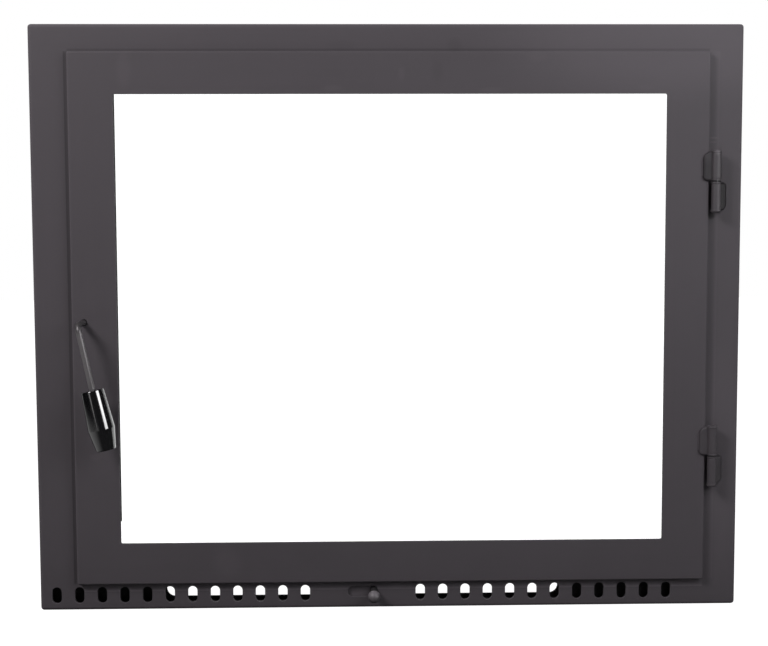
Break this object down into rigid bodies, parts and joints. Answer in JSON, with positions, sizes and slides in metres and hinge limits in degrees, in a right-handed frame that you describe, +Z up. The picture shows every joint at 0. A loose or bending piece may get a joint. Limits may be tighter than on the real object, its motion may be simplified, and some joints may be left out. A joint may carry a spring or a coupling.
{
  "type": "fireplace glass door",
  "caption": "Glazed steel fireplace door in a folded, masonry-in frame, with lift-off hinges, a turning latch handle and an air slide behind a slotted bottom rail.",
  "frame": {"origin": "middle of the sill seat: the underside of the fire tunnel's floor, half way across the frame and in the wall plane where the frame's lips end", "axes": "+Z up, the front faces -Y, +X to the right as seen from the front, where the hinges are"},
  "size_m": [0.7, 0.123, 0.58],
  "materials": {
    "face_paint": "matt heat-resistant dark grey paint",
    "inner_paint": "matt heat-resistant dark paint on hidden sheet",
    "bare_steel": "plain zinc-plated steel",
    "rod_steel": "drawn steel rod, thinly painted",
    "grip_black": "polished black thermoset",
    "knob_black": "satin dark paint",
    "clear_glass": "clear ceramic glass",
    "seal_tape": "woven glass tape",
    "seal_rope": "braided glass rope"
  },
  "bodies": {
    "frame": {"frame_face": "face_paint", "frame_back_plate": "inner_paint", "tunnel_floor": "inner_paint", "tunnel_roof": "inner_paint", "tunnel_cheek_left": "inner_paint", "tunnel_cheek_right": "inner_paint", "anchor_lug_left_lower": "bare_steel", "anchor_lug_left_upper": "bare_steel", "anchor_lug_right_lower": "bare_steel", "anchor_lug_right_upper": "bare_steel", "latch_keeper": "inner_paint", "slide_guide_top": "inner_paint", "slide_guide_bottom": "inner_paint", "hinge_barrel_frame_upper": "face_paint", "hinge_barrel_frame_lower": "face_paint", "hinge_pin_upper": "bare_steel", "hinge_pin_lower": "bare_steel", "hinge_washer_upper": "bare_steel", "hinge_washer_lower": "bare_steel"},
    "air_slide": {"air_slide_plate": "inner_paint", "air_knob_ball": "knob_black", "air_knob_stem": "bare_steel", "air_knob_nut": "bare_steel"},
    "door": {"door_leaf": "face_paint", "window_bar_top": "inner_paint", "window_bar_bottom": "inner_paint", "window_bar_right": "inner_paint", "window_bar_left_upper": "inner_paint", "window_bar_left_lower": "inner_paint", "glass_pane": "clear_glass", "glass_tape_front": "seal_tape", "glass_tape_rear": "seal_tape", "glass_retainer_top": "inner_paint", "glass_retainer_bottom": "inner_paint", "glass_retainer_left": "inner_paint", "glass_retainer_right": "inner_paint", "retainer_screw_top_1": "bare_steel", "retainer_screw_top_2": "bare_steel", "retainer_screw_top_3": "bare_steel", "retainer_screw_bottom_1": "bare_steel", "retainer_screw_bottom_2": "bare_steel", "retainer_screw_bottom_3": "bare_steel", "retainer_screw_left_1": "bare_steel", "retainer_screw_left_2": "bare_steel", "retainer_screw_right_1": "bare_steel", "retainer_screw_right_2": "bare_steel", "door_rope_seal": "seal_rope", "spindle_bush": "bare_steel", "hinge_barrel_door_upper": "face_paint", "hinge_barrel_door_lower": "face_paint"},
    "handle": {"handle_rod": "rod_steel", "handle_grip": "grip_black", "latch_cam": "bare_steel", "spindle_spacer": "bare_steel", "spindle_nut": "bare_steel"}
  },
  "joints": [
    {"name": "door_swing", "type": "hinge", "parent": "frame", "child": "door", "pos_m": [0.3216, -0.04, 0.249], "axis": [0, 0, 1], "range_deg": [0, 120]},
    {"name": "handle_turn", "type": "hinge", "parent": "door", "child": "handle", "pos_m": [-0.2994, -0.045, 0.2485], "axis": [0, 1, 0], "range_deg": [-40, 28]},
    {"name": "air_slide_travel", "type": "slide", "parent": "frame", "child": "air_slide", "axis": [1, 0, 0], "range_m": [-0.0221, 0]}
  ]
}
